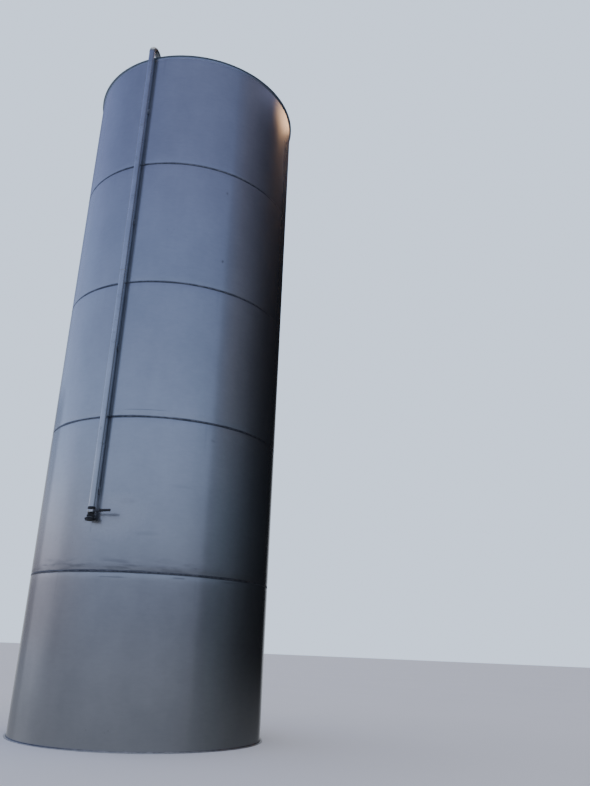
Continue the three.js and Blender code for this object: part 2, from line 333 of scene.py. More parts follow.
def makeSteel(name):
    dull, bright, roughness, grain = steelLook[name]
    look = newLook(name)
    streak, broad = look.cloud(24, 4, 0.6, (1, 1, 0.08)), look.cloud(5, 3)
    base = look.mix(look.fade(streak, 0.3, 0.7) * 0.6 + look.fade(broad, 0.35, 0.65) * 0.4, dull, bright)
    dirt = look.fade(look.cloud(11, 5, 0.65), 0.58, 0.72)
    base = look.mix(dirt * steelGrime["share"], base, steelGrime["colour"])
    return look.finish(base, 1.0, roughness + (broad - 0.5) * 0.1 + dirt * 0.12, 90, 3, grain, 0.0006)


weldLook = {"dark": colour(0.085, 0.092, 0.11), "light": colour(0.18, 0.19, 0.22), "rippleScale": 170.0}


def makeWeldMetal():
    look = newLook("weldMetal")
    patch = look.cloud(18, 4, 0.6)
    base = look.mix(look.fade(patch, 0.35, 0.7), weldLook["dark"], weldLook["light"])
    return look.finish(base, 1.0, 0.45 + (patch - 0.5) * 0.2, weldLook["rippleScale"], 2, 0.6, 0.0012)


blackPaint = {"paint": colour(0.012, 0.013, 0.016), "dust": colour(0.055, 0.055, 0.058)}
# roughness and scale of the fine bumps
blackLook = {"valveBlack": (0.42, 300), "gripBlack": (0.6, 700), "capBlack": (0.5, 500)}


def makeBlack(name):
    roughness, grainScale = blackLook[name]
    look = newLook(name)
    dusty = look.fade(look.cloud(26, 5, 0.65), 0.45, 0.75)
    base = look.mix(dusty * 0.6, blackPaint["paint"], blackPaint["dust"])
    return look.finish(base, 0.0, roughness + dusty * 0.2, grainScale, 3, 0.25, 0.0005)


fittingLook = {"dark": colour(0.05, 0.055, 0.06), "worn": colour(0.16, 0.165, 0.17)}


def makeFitting():
    look = newLook("darkFitting")
    worn = look.fade(look.cloud(30, 4, 0.6), 0.45, 0.65)
    base = look.mix(worn, fittingLook["dark"], fittingLook["worn"])
    return look.finish(base, 0.8, 0.5 + worn * 0.15, 140, 2, 0.3, 0.0006)


rimLook = {
    "band": colour(0.60, 0.61, 0.64),
    "worn": colour(0.546, 0.5668, 0.6076),
    # edge: painted shade on the turned out leg and on the top of the upright leg
    "edge": colour(0.30, 0.37, 0.46),
    "shadeBelow": 0.012,      # how far under the rim's top the painted shade starts
}


def makeRimSteel():
    # pale upright leg, and a turned out leg painted dark as shade, with a band of painted shade under the
    # rim's top
    look, s = newLook("rimSteel"), rimLook
    z = look.parts(look.place)[2]
    worn = look.cloud(9, 4, 0.6)
    start = rimTop - s["shadeBelow"]
    # painted shade: the turned out leg, and the top of the upright leg under it
    edge = look.add("ShaderNodeMath", {"operation": "MAXIMUM"}, {
        0: look.fade(look.length(look.place * (1, 1, 0)), shellRadius + 0.0006, shellRadius + 0.002),
        1: look.fade(z + (worn - 0.5) * 0.008, start - 0.006, start),
    })
    band = look.mix(look.fade(worn, 0.3, 0.7), s["worn"], s["band"])
    return look.finish(look.mix(edge, band, s["edge"]), 1.0, 0.26 + edge * 0.2, 60, 3, 0.06, 0.0005)


leverLook = {
    "dull": colour(0.62, 0.63, 0.64), "bright": colour(0.76, 0.77, 0.78),
    "arm": colour(0.10, 0.105, 0.115), "armStart": 0.042, "armFull": 0.062,
}


def makeLeverPlate():
    # bright plate at the head, dark along the arm
    look, s = newLook("leverPlate"), leverLook
    worn = look.cloud(60, 4, 0.6)
    base = look.mix(look.fade(worn, 0.3, 0.7), s["dull"], s["bright"])
    arm = look.fade(look.parts(look.place)[0] + (worn - 0.5) * 0.02, s["armStart"], s["armFull"])
    return look.finish(look.mix(arm, base, s["arm"]), 1.0, 0.28 + arm * 0.3, 260, 3, 0.15, 0.0004)


plate = makePlate()
roofSteel, pipeSteel, shadedBendSteel, barSteel, leverSteel, flangeSteel, pipeWeld = [
    makeSteel(name) for name in steelLook
]
valveBlack, gripBlack, capBlack = [makeBlack(name) for name in blackLook]
weldMetal = makeWeldMetal()
darkFitting = makeFitting()
rimSteel = makeRimSteel()
leverPlate = makeLeverPlate()
print("looks made")


# Mesh building: a shape is a list of points and a list of faces
def joined(*shapes):
    verts, faces = [], []
    for shapeVerts, shapeFaces in shapes:
        start = len(verts)
        verts += [tuple(v) for v in shapeVerts]
        faces += [tuple(start + i for i in face) for face in shapeFaces]
    return verts, faces


def moved(shape, matrix):
    return [tuple(matrix @ Vector(v)) for v in shape[0]], shape[1]


def placed(shape, x=0, y=0, z=0, turn=0):
    return moved(shape, Matrix.Translation((x, y, z)) @ Matrix.Rotation(turn, 4, "Z"))


def facing(shape, level, side=1):
    # a shape about Z laid down at a height, to point to the front, or with side -1 to the back
    return moved(shape, Matrix.Translation((0, 0, level)) @ Matrix.Rotation(side * math.pi / 2, 4, "X"))


def angles(count, start=0):
    # evenly round a whole turn
    return [2 * math.pi * (i + start) / count for i in range(count)]


def spaced(start, end, count):
    return [start + (end - start) * i / count for i in range(count + 1)]


def around(angle, radius, height):
    return Vector((radius * math.cos(angle), radius * math.sin(angle), height))


def roundRing(middle, side, up, radius, sides):
    return [middle + (side * math.cos(angle) + up * math.sin(angle)) * radius for angle in angles(sides)]


def circle(middle, radius, count, normal="Z"):
    side, up = [Vector(axis) for axis in {
        "Z": ((1, 0, 0), (0, 1, 0)), "Y": ((1, 0, 0), (0, 0, 1)), "X": ((0, 1, 0), (0, 0, 1)),
    }[normal]]
    return roundRing(Vector(middle), side, up, radius, count)


def lofted(rings, closed=False, wraps=True):
    # a skin over rings of as many points each; closed joins the last ring to the first,
    # and wraps joins the last point of each ring to its first
    count, sides = len(rings), len(rings[0])
    verts = [tuple(point) for ring in rings for point in ring]
    faces = [] if closed else [tuple(range(sides)), tuple(range(len(verts) - sides, len(verts)))]
    for i in range(count if closed else count - 1):
        a, b = i * sides, (i + 1) % count * sides
        for k in range(sides if wraps else sides - 1):
            n = (k + 1) % sides
            faces.append((a + k, a + n, b + n, b + k))
    return verts, faces


def turned(profile, sides, wobble=None):
    # a body turned about Z; an outline that does not start on the axis closes on itself
    rings = []
    for angle in angles(sides):
        reaches = [radius + (wobble(angle, radius, height) if wobble else 0) for radius, height in profile]
        rings.append([around(angle, reach, height) for reach, (radius, height) in zip(reaches, profile)])
    return lofted(rings, True, profile[0][0] > 0)


def section(inner, outer, low, high):
    return [(inner, low), (outer, low), (outer, high), (inner, high)]


def tube(inner, outer, low, high, sides):
    return turned(section(inner, outer, low, high), sides)


def fromCorner(x, y, *offsets):
    # points of an outline, given in millimetres from one of its corners
    return [(x + dx / 1000, y + dy / 1000) for dx, dy in offsets]


def rounded(profile, radius, steps=3):
    # replaces each sharp corner of an open outline with a short arc
    out = [profile[0]]
    for before, corner, after in zip(profile, profile[1:], profile[2:]):
        a, b, c = Vector(before), Vector(corner), Vector(after)
        cutIn = min(radius, (a - b).length * 0.45, (c - b).length * 0.45)
        start, end = b + (a - b).normalized() * cutIn, b + (c - b).normalized() * cutIn
        for t in spaced(0, 1, steps):
            out.append(tuple(start * (1 - t) ** 2 + b * 2 * t * (1 - t) + end * t ** 2))
    return out + [profile[-1]]


def prism(outline, low, high):
    # a flat outline in X and Y raised along Z
    return lofted([[(x, y, height) for x, y in outline] for height in (low, high)])


def sector(inner, outer, low, high, middle, half):
    # a curved block that reaches half an angle to both sides of its middle
    rings = []
    for angle in spaced(middle - half, middle + half, 8):
        rings.append([around(angle, *point) for point in section(inner, outer, low, high)])
    return lofted(rings)


def swept(points, radius, sides, radii=None):
    # a closed round rod along a list of points
    points = [Vector(point) for point in points]
    ahead, behind = [*points[1:], points[-1]], [points[0], *points[:-1]]
    tangents = [(after - before).normalized() for after, before in zip(ahead, behind)]
    side = tangents[0].orthogonal().normalized()
    rings = []
    for point, tangent, reach in zip(points, tangents, radii or [radius] * len(points)):
        side = (side - tangent * side.dot(tangent)).normalized()
        rings.append(roundRing(point, side, tangent.cross(side), reach, sides))
    return lofted(rings)


def looped(points, radius, sides=8, uneven=0.0):
    # a round rod whose path closes on itself
    points = [Vector(point) for point in points]
    rings = []
    for before, point, after in zip([points[-1], *points], points, [*points[1:], points[0]]):
        tangent = (after - before).normalized()
        across = tangent.cross(Vector((0, 0, 1)))
        if across.length < 1e-3:
            across = tangent.cross(Vector((1, 0, 0)))
        across.normalize()
        reach = radius * (1 + uneven * noise.noise(point * 160))
        rings.append(roundRing(point, across, across.cross(tangent), reach, sides))
    return lofted(rings, closed=True)


def weldRing(points, radius):
    return looped(points, radius, uneven=0.25)


def bead(start, end, radius, step=0.004):
    # a straight run of weld, a little uneven along its length
    start, end = Vector(start), Vector(end)
    count = max(4, int((end - start).length / step))
    points = [start.lerp(end, t) for t in spaced(0, 1, count)]
    radii = [radius * (1 + 0.22 * noise.noise(point * 170)) for point in points]
    radii[0] = radii[-1] = radius * 0.6
    return swept(points, radius, 7, radii)


def rod(low, high, radius, sides=48, cham=0.0008, step=None):
    step = step or cham
    wide = [(radius - cham, low), (radius, low + step), (radius, high - step), (radius - cham, high)]
    return turned([(0, low), *wide, (0, high)], sides)


def hexagon(across, low, high, cham=0.12, step=None):
    reach = across / math.sqrt(3)
    return rod(low, high, reach, 6, reach * cham, step or reach * cham * 0.6)


def squarer(value, power):
    # a cosine or sine for a ring that is squarer than a circle
    return math.copysign(abs(value) ** power, value)


def addPiece(name, shape, look, slotName=None, body="tank", bevel=0.0, smooth=35, replaces=None):
    mesh = bpy.data.meshes.new(name)
    mesh.from_pydata(shape[0], [], shape[1])
    clean = bmesh.new()
    clean.from_mesh(mesh)
    bmesh.ops.remove_doubles(clean, verts=clean.verts, dist=1e-6)
    bmesh.ops.recalc_face_normals(clean, faces=clean.faces)
    clean.to_mesh(mesh)
    clean.free()
    mesh.materials.append(look)
    mesh.shade_smooth()
    mesh.set_sharp_from_angle(angle=math.radians(smooth))
    piece = bpy.data.objects.new(name, mesh)
    bpy.context.collection.objects.link(piece)
    if bevel:
        edge = piece.modifiers.new("edges", "BEVEL")
        edge.width = bevel
        edge.segments = 2
        edge.limit_method = "ANGLE"
        edge.angle_limit = math.radians(40)
    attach(piece, body)
    if replaces:
        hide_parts(replaces)


def addWeld(name, *shapes):
    addPiece(name, joined(*shapes), weldMetal)


# Shell courses, smooth plates that draw in a little at their welds
shellShape = {
    "sides": 288,
    "plate": 0.003,
    "pinch": 0.0016,         # how far the plate draws in at a weld
    "pinchReach": 0.035,
    "ripple": 0.0009,
    # heights of the mesh's rings over each weld, and under the next one
    "rings": [0, 0.008, 0.02, 0.035, 0.055, 0.08, 0.14, 0.26, 0.42, 0.58],
}
beadShape = {
    "sides": 720,
    "half": 0.007,           # half of a round weld's height
    "proud": 0.0016,         # how far it stands out
    "sunk": 0.0003,          # how deep its edges lie in the plate, and its back
    "root": 0.0015,
    "wander": 0.0005,        # how unevenly it runs, over a long way and a short one
    "ripple": 0.0002,
    "seams": [62, 118, 74, 126, 84],  # angle of each course's upright weld, round the back
    "seamRadius": 0.0045,
    "seamSunk": 0.0022,      # how far its axis lies inside the shell
    "seamEnd": 0.012,
    "seamSteps": 60,
}


def pinchAt(height):
    index = (height - shellFoot) / courseHeight
    nearest = round(index)
    if nearest in (0, courses):
        return 0.0
    away = abs(index - nearest) * courseHeight
    return shellShape["pinch"] * math.exp(-(away / shellShape["pinchReach"]) ** 2)


def shellWobble(angle, radius, height):
    if radius < shellRadius - 0.5 * shellShape["plate"]:
        return -pinchAt(height)
    point = Vector((math.cos(angle) * 1.6, math.sin(angle) * 1.6, height * 0.8))
    ripple = shellShape["ripple"] * (noise.noise(point) - 0.6)
    return min(0, ripple) - pinchAt(height)


def makeShell():
    rings = shellShape["rings"]
    offsets = rings + [courseHeight / 2] + [courseHeight - s for s in reversed(rings)]
    for i in range(courses):
        outer = [(shellRadius, shellFoot + i * courseHeight + s) for s in offsets]
        inner = [(shellRadius - shellShape["plate"], height) for radius, height in reversed(outer)]
        shape = turned(outer + inner, shellShape["sides"], shellWobble)
        addPiece(f"shellCourse{i + 1}", shape, plate, replaces=f"shell_course_{i + 1}")


def beadProfile(middle, radius, half, proud):
    rise = [(radius + proud * math.sin(a), middle - half * math.cos(a)) for a in spaced(0, math.pi, 6)]
    root = radius - beadShape["root"]
    return rise + [(root, middle + half), (root, middle - half)]


def beadWobble(angle, radius, height):
    wander = noise.noise(Vector((math.cos(angle) * 30, math.sin(angle) * 30, height)))
    return wander * beadShape["wander"] + math.sin(angle * 360) * beadShape["ripple"]


def makeWelds():
    s = beadShape
    radius = shellRadius - shellShape["pinch"] - s["sunk"]
    for i in range(1, courses):
        profile = beadProfile(shellFoot + i * courseHeight, radius, s["half"], s["proud"])
        addWeld(f"courseWeld{i}", turned(profile, s["sides"], beadWobble))
    for i, degrees in enumerate(s["seams"]):
        low, gap = shellFoot + i * courseHeight, s["seamEnd"]
        levels = spaced(low + gap, low + courseHeight - gap, s["seamSteps"])
        path = [around(math.radians(degrees), shellRadius - s["seamSunk"], level) for level in levels]
        addWeld(f"plateWeld{i + 1}", swept(path, s["seamRadius"], 8))


makeShell()
makeWelds()
print("shell made")


# Bottom plate with its narrow lip and the fillet weld round the foot
footShape = {"plate": 0.006, "edge": 0.0012, "fillet": 0.007}


def makeFoot():
    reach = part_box("bottom_plate")[1].x
    top, f = footShape["plate"], footShape["fillet"]
    profile = rounded([(0, 0), (reach, 0), (reach, top), (0, top)], footShape["edge"])
    addPiece("bottomPlate", turned(profile, 192), barSteel, replaces="bottom_plate")
    inside = shellRadius - lap
    addWeld("footWeld", turned([
        (inside, top), (shellRadius + f, top), (shellRadius + f * 0.45, top + f * 0.4),
        (shellRadius, top + f), (inside, top + f),
    ], 288))


# Rolled angle that stands on the top course, and the coned roof
rimShape = {"thick": 0.004, "weldHalf": 0.004, "weldProud": 0.0009}
roofShape = {
    "flat": 0.005, "overhang": 0.012, "plate": 0.003, "slope": 12,
    "sunk": 0.0015, "weldLift": 0.001,       # how deep fittings sit in the roof, and their welds over it
}
roofTurn = shellRadius - roofShape["flat"]   # where the cone meets the flat edge
roofRise = math.tan(math.radians(roofShape["slope"]))
roofPeak = rimTop + roofShape["plate"] + roofTurn * roofRise


def makeRimAndRoof():
    plateThick = roofShape["plate"]
    inside, reach, under = shellRadius - plateThick, rimBox[1].x, rimTop - rimShape["thick"]
    leg = fromCorner(shellRadius, under, (-0.3, -4), (0.9, -1.2), (4, 0))
    rim = [
        (inside, shellTop), (shellRadius - 0.0003, shellTop), *leg,
        (reach, under), (reach, rimTop), (inside, rimTop),
    ]
    addPiece("rimAngle", turned(rim, 288), rimSteel, bevel=0.0006, replaces="rim_angle")
    edge = shellRadius + roofShape["overhang"]
    hole = (roofPeak - roofHigh) / roofRise
    roof = [
        (hole, roofHigh - plateThick), (roofTurn, rimTop), (edge, rimTop), (edge, rimTop + plateThick),
        (roofTurn, rimTop + plateThick), (hole, roofHigh),
    ]
    addPiece("roofPlate", turned(roof, 192), roofSteel, replaces="roof_cone")


makeFoot()
makeRimAndRoof()
print("foot, rim and roof made")


def onRoof(point, lift=0.0):
    # a point laid on the roof's upper face, or a little over or under it
    away = math.hypot(point.x, point.y)
    level = roofPeak - away * roofRise if away < roofTurn else rimTop + roofShape["plate"]
    return Vector((point.x, point.y, level + lift))


def roofRing(x, y, radius, count):
    return [onRoof(point, roofShape["weldLift"]) for point in circle((x, y, 0), radius, count)]


def slopedTube(x, y, inner, outer, high, sides):
    # a tube whose foot is cut to the roof's slope
    outside, inside = [circle((x, y, high), radius, sides) for radius in (outer, inner)]
    sunk = -roofShape["sunk"]
    rings = [[onRoof(a, sunk), a, b, onRoof(b, sunk)] for a, b in zip(outside, inside)]
    return lofted(rings, closed=True)


# Roof manway, its neck cut to the slope, with a clamped lid
manwayShape = {
    "angle": 130, "reach": 0.620, "neck": 0.254, "wall": 0.004, "lip": 0.006, "lipHigh": 0.012,
    "gasket": 0.003, "gasketIn": 0.006, "gasketOut": 0.012, "weld": 0.0055,
    "bolts": 12, "boltCircle": 0.279, "boltRadius": 0.006, "nut": 0.019, "washer": 0.012,
    # lower and upper end of each, from the lid's underside
    "lug": (-0.009, -0.001), "bolt": (-0.026, 0.024), "washerAt": (0.010, 0.0125),
    "nutOver": (0.0125, 0.0205), "nutUnder": (-0.019, -0.009),
    "handleSpan": 0.16, "handleFoot": 0.0295, "handleRise": 0.045, "handleRadius": 0.006,
    "handleBend": 0.018, "handlePlaces": (-0.115, 0.115),
}


def makeManway():
    m = manwayShape
    angle = math.radians(m["angle"])
    cx, cy = m["reach"] * math.cos(angle), m["reach"] * math.sin(angle)
    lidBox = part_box("roof_manway_lid")
    top, radius = lidBox[0].z, m["neck"]
    seat, inner = top - m["gasket"], radius - m["wall"]
    lip = rounded(section(inner, radius + m["lip"], top - m["lipHigh"], seat), 0.001)
    neck = joined(slopedTube(cx, cy, inner, radius, seat, 96), placed(turned(lip, 96), cx, cy))
    addPiece("manwayNeck", neck, roofSteel, replaces="roof_manway_neck")
    gasket = tube(radius - m["gasketIn"], radius + m["gasketOut"], seat, top, 96)
    addPiece("manwayGasket", placed(gasket, cx, cy), gripBlack)
    addWeld("manwayWeld", weldRing(roofRing(cx, cy, radius + 0.002, 240), m["weld"]))
    edge = (lidBox[1].x - lidBox[0].x) / 2
    rise = lidBox[1].z - top
    lid = turned(rounded([
        (0, top + 0.002), *fromCorner(radius, top, (-10, 2), (-2, 0)),
        *fromCorner(edge, top, (-2, 0), (0, 2), (0, 8), (-2, 10), (-45, 10), (-75, 16.5), (-120, 28)),
        (edge - 0.19, top + rise * 0.90), (edge - 0.25, top + rise * 0.975), (0, top + rise),
    ], 0.004), 96)
    addPiece("manwayLid", placed(lid, cx, cy), roofSteel, replaces="roof_manway_lid")
    lug = fromCorner(0, 0, (-28, -17), (8, -17), (15, -10), (15, 10), (8, 17), (-28, 17))

    def ends(name):
        return [top + height for height in m[name]]

    lug = prism(lug, *ends("lug"))
    bolt = joined(
        rod(*ends("bolt"), m["boltRadius"], 16), hexagon(m["nut"], *ends("nutOver")),
        rod(*ends("washerAt"), m["washer"], 20, 0.0004), hexagon(m["nut"], *ends("nutUnder")),
    )
    away = m["boltCircle"]
    spots = [(cx + away * math.cos(a), cy + away * math.sin(a), 0, a) for a in angles(m["bolts"], 0.5)]
    lugs, bolts = [joined(*[placed(shape, *spot) for spot in spots]) for shape in (lug, bolt)]
    addPiece("manwayLugs", lugs, barSteel, bevel=0.0008)
    addPiece("manwayBolts", bolts, barSteel, "dark_fitting", smooth=25)
    # bent handles across the lid, half of each path mirrored
    half, bend, foot = m["handleSpan"] / 2, m["handleBend"], top + m["handleFoot"]
    shoulder = foot + m["handleRise"] * 0.6
    path = [(-half, 0, foot - 0.006), (-half, 0, shoulder)]
    for a in spaced(0, math.pi / 2, 6)[1:]:
        path.append((-half + bend * (1 - math.cos(a)), 0, shoulder + bend * math.sin(a)))
    path += [(-x, y, z) for x, y, z in reversed(path)]
    handle = placed(swept(path, m["handleRadius"], 14), turn=math.pi / 2)
    handles = [placed(placed(handle, offset), cx, cy, turn=angle) for offset in m["handlePlaces"]]
    addPiece("manwayHandles", joined(*handles), pipeSteel)


# Vent under its hood, at the peak
ventShape = {
    "radius": 0.057, "wall": 0.003,
    "window": 0.060, "sill": 0.063,      # width of each window, and its foot under the neck's top
    "band": 0.004, "meshPitch": 0.006, "wire": 0.0007, "roll": 0.003, "weld": 0.004,
}


def makeVent():
    v = ventShape
    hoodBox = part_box("vent_hood")
    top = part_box("vent_neck")[1].z
    outer, inner, sill = v["radius"], v["radius"] - v["wall"], top - v["sill"]
    lower = slopedTube(0, 0, inner, outer, sill, 64)
    half = math.pi / 4 - math.asin(v["window"] / 2 / outer)
    band = top - v["band"]
    posts = [sector(inner, outer, sill - lap, band + lap, middle, half) for middle in angles(4, 0.5)]
    neck = joined(lower, tube(inner, outer, band, top, 64), *posts)
    addPiece("ventNeck", neck, roofSteel, replaces="vent_neck")
    radius = inner - 0.0012
    wires = []
    for angle in angles(int(2 * math.pi * radius / v["meshPitch"])):
        ends = [around(angle, radius, sill - 0.004), around(angle, radius, top - 0.001)]
        wires.append(swept(ends, v["wire"], 5))
    level = sill
    while level < band:
        wires.append(looped(circle((0, 0, level), radius - 0.0008, 48), v["wire"], 5))
        level += v["meshPitch"]
    addPiece("ventScreen", joined(*wires), barSteel, "dark_fitting")
    reach, skirt, crown = (hoodBox[1].x - hoodBox[0].x) / 2, hoodBox[0].z, hoodBox[1].z
    hood = rounded([
        (0, top + 0.001), (reach - 0.004, top + 0.001), (reach - 0.003, skirt), (reach, skirt),
        *fromCorner(reach, top, (0, 3), (-12, 8)), (reach * 0.5, top + 0.0275), (0.012, crown), (0, crown),
    ], 0.006)
    addPiece("ventHood", turned(hood, 96), roofSteel, replaces="vent_hood")
    roll = looped(circle((0, 0, skirt + v["roll"]), reach - 0.0032, 96), v["roll"])
    addPiece("ventHoodRoll", roll, roofSteel)
    addWeld("ventWeld", weldRing(roofRing(0, 0, outer + 0.001, 90), v["weld"]))


roofWeldShape = {
    "angles": (40, 100, 160, 220, 280, 340), "from": 0.075, "radius": 0.0032, "edgeRadius": 0.0022,
}


def makeRoofWelds():
    s = roofWeldShape
    runs = []
    for degrees in s["angles"]:
        ends = [onRoof(around(math.radians(degrees), away, 0)) for away in (s["from"], shellRadius - 0.008)]
        runs.append(bead(*ends, s["radius"], 0.006))
    edge = circle((0, 0, rimTop + 0.0008), shellRadius + roofShape["overhang"], 480)
    profile = beadProfile(shellTop, shellRadius - 0.0006, rimShape["weldHalf"], rimShape["weldProud"])
    addWeld("roofWelds", *runs)
    addWeld("roofEdgeWeld", looped(edge, s["edgeRadius"], 7, 0.3))
    addPiece("rimWeld", turned(profile, beadShape["sides"], beadWobble), rimSteel)


makeManway()
makeVent()
makeRoofWelds()
print("roof fittings made")


# Fill line: riser, return bend over the rim, drop and roof socket
fillShape = {
    "radius": 0.035, "sides": 56, "bend": 0.076, "bendSteps": 40, "socket": 0.043,
    "jointLevel": 4.62, "weld": 0.0022, "socketFootWeld": 0.004, "socketTopWeld": 0.0026,
    "bars": 4, "barWidth": 0.050, "barThick": 0.005,
}


def makeFillLine():
    f = fillShape
    radius, sides, bend = f["radius"], f["sides"], f["bend"]
    high = pipeBox[1].z
    riser = placed(rod(pipeBox[0].z, high, radius, sides, 0.0005), 0, pipeAxisY)
    addPiece("fillPipe", riser, pipeSteel, replaces="fill_pipe")
    middleY = (pipeAxisY + dropAxisY) / 2
    arc = [(0, pipeAxisY, high - 0.0005)]
    for a in spaced(0, math.pi, f["bendSteps"]):
        arc.append((0, middleY - bend * math.cos(a), high + bend * math.sin(a)))
    arc.append((0, dropAxisY, high - 0.0005))
    # bend and drop darker than the riser: painted shade
    addPiece("fillReturnBend", swept(arc, radius, sides), shadedBendSteel, replaces="fill_pipe_return_bend")
    drop = placed(rod(dropBox[0].z, high, radius, sides, 0.0005), 0, dropAxisY)
    addPiece("fillDrop", drop, shadedBendSteel, replaces="fill_pipe_drop")
    joints = [(0, pipeAxisY, f["jointLevel"]), (0, pipeAxisY, high), (0, dropAxisY, high)]
    rings = [weldRing(circle(joint, radius + 0.0002, 72), f["weld"]) for joint in joints]
    addPiece("fillPipeWelds", joined(*rings), pipeWeld)
    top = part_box("fill_pipe_roof_socket")[1].z
    socket = slopedTube(0, dropAxisY, radius + 0.0003, f["socket"], top, 64)
    addPiece("fillRoofSocket", socket, shadedBendSteel, bevel=0.001, replaces="fill_pipe_roof_socket")
    foot = weldRing(roofRing(0, dropAxisY, f["socket"] + 0.001, 100), f["socketFootWeld"])
    over = weldRing(circle((0, dropAxisY, top), radius + 0.001, 72), f["socketTopWeld"])
    addWeld("fillSocketWelds", foot, over)


# T bars that hold a pipe off the shell, welded at both ends
barShape = {
    "sunk": 0.0035,          # how deep the bar sits in the shell, and in the pipe
    "inPipe": 0.0012,
    "taper": 0.16,           # height lost on each side at the pipe, as a share
    "corner": 0.003,
    "weld": 0.42,            # radius as a share of the bar's thickness
    "weldEnd": 0.006,
}


def addStandoffs(name, node, count, bevel, axis, pipeRadius, width, thick, turn=0):
    front, half, skin = math.pi * 1.5, width / 2 / shellRadius, shellRadius - 0.0008
    near, far = shellRadius + thick - lap, axis - pipeRadius + barShape["inPipe"]
    t, r, corner, end = thick / 2, thick * barShape["weld"], barShape["corner"], barShape["weldEnd"]
    for i in range(1, count + 1):
        low, high = [point.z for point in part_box(f"{node}_{i}")]
        drop = (high - low) * barShape["taper"]
        head = sector(shellRadius - barShape["sunk"], near + lap / 2, low, high, front, half)
        side = [(near, low + corner), (far, low + drop), (far, high - drop), (near, high - corner)]
        bar = joined(head, lofted([[(x, -reach, z) for reach, z in side] for x in (-t, t)]))
        addPiece(f"{name}{i}", placed(bar, turn=turn), barSteel, bevel=bevel, replaces=f"{node}_{i}")
        welds = []
        for s, level in ((-1, low), (1, high)):
            welds.append(bead((s * t, -near, low + end), (s * t, -near, high - end), r))
            welds.append(bead((s * t, -far, low + drop), (s * t, -far, high - drop), r))
            welds.append(bead(around(front + s * half, skin, low), around(front + s * half, skin, high), r))
            across = [around(angle, skin, level) for angle in spaced(front - half, front + half, 12)]
            welds.append(swept(across, r, 7))
        addWeld(f"{name}Welds{i}", placed(joined(*welds), turn=turn))


makeFillLine()
addStandoffs(
    "fillBracket", "fill_pipe_bracket", fillShape["bars"], 0.0008, -pipeAxisY, fillShape["radius"],
    fillShape["barWidth"], fillShape["barThick"],
)
print("fill line made")


# Quarter turn valve with its lever
valveShape = {
    "hexAcross": 0.072, "hexHeight": 0.020, "barrel": 0.0308, "swell": 0.003,
    "boss": 0.013, "collar": 0.0165, "bossReach": 0.046, "bossStep": 0.0065, "gland": 0.0245,
    "seam": 0.0011, "seamBelow": 0.004, "seamOut": 0.0012,
}


def makeValve():
    v = valveShape
    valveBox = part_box("valve_body")
    foot, top, h = valveBox[0].z, valveBox[1].z, v["hexHeight"]
    ends = [hexagon(v["hexAcross"], low, low + h, 0.1, 0.003) for low in (foot, top - h)]
    low, high, barrel = foot + h, top - h, v["barrel"]
    ball = [(0, low - lap), (barrel, low - lap)]
    for t in spaced(0, 1, 12):
        ball.append((barrel + v["swell"] * math.sin(math.pi * t), low + (high - low) * t))
    ball += [(barrel, high + lap), (0, high + lap)]
    body = placed(joined(*ends, turned(ball, 56)), 0, pipeAxisY)
    start, front = -pipeAxisY, -pipeAxisY + v["bossReach"]
    step = front - v["bossStep"]
    boss = facing(turned([
        (0, start), (v["collar"], start), *fromCorner(v["collar"], step, (0, -2), (-2, 0)),
        (v["boss"], step), *fromCorner(v["boss"], front, (0, -1), (-1, 0)), (0, front),
    ], 48), leverLevel)
    gland = facing(hexagon(v["gland"], step, front - 0.001), leverLevel)
    seam = looped(circle((0, pipeAxisY, high - v["seamBelow"]), barrel + v["seamOut"], 72), v["seam"])
    body = joined(body, boss, gland, seam)
    addPiece("valveBody", body, valveBlack, bevel=0.0006, replaces="valve_body")
    thread = fromCorner(fillShape["radius"], top, (-1, 0), (1.1, 0), (0.2, 9), (-1, 9))
    addPiece("valveThread", placed(turned(thread, 56), 0, pipeAxisY), darkFitting)


leverShape = {
    "tail": 0.012, "bar": 0.122, "headHalf": 0.0128, "armHalf": 0.0098, "neck": (0.012, 0.030),
    "washer": 0.0115, "washerThick": 0.0012, "nut": 0.019, "nutHigh": 0.0054, "stud": 0.0052,
}
gripShape = {
    "steps": 104, "sides": 28, "endSize": 0.62, "endRound": 0.006, "waist": 0.93, "groove": 0.94,
    "groovePitch": 6, "grooveSteps": 2, "flareEnds": (0.08, 0.93), "grooves": (0.18, 0.86),
    "squareThick": 0.6, "squareTall": 0.45,
}


def makeLever():
    s = leverShape
    head, arm, (neckStart, neckEnd) = s["headHalf"], s["armHalf"], s["neck"]
    turns = spaced(math.pi / 2, math.pi * 1.5, 16)
    outline = [(head - s["tail"] + head * math.cos(a), head * math.sin(a)) for a in turns]
    outline += [(neckStart, -head), (neckEnd, -arm), (s["bar"], -arm)]
    outline += [(s["bar"], arm), (neckEnd, arm), (neckStart, head)]
    bar = facing(prism(outline, -leverBox[1].y, -leverBox[0].y), leverLevel)
    addPiece("leverBar", bar, leverPlate, body="valve_handle", bevel=0.0012, replaces="valve_lever")
    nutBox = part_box("valve_lever_nut")
    start, end = -nutBox[1].y, -nutBox[0].y
    over = start + s["washerThick"]
    nut = facing(joined(
        rod(start, over, s["washer"], 28, 0.0003), hexagon(s["nut"], over, over + s["nutHigh"]),
        rod(start, end - 0.0002, s["stud"], 20),
    ), leverLevel)
    addPiece("leverNut", nut, leverSteel, body="valve_handle", smooth=25, replaces="valve_lever_nut")


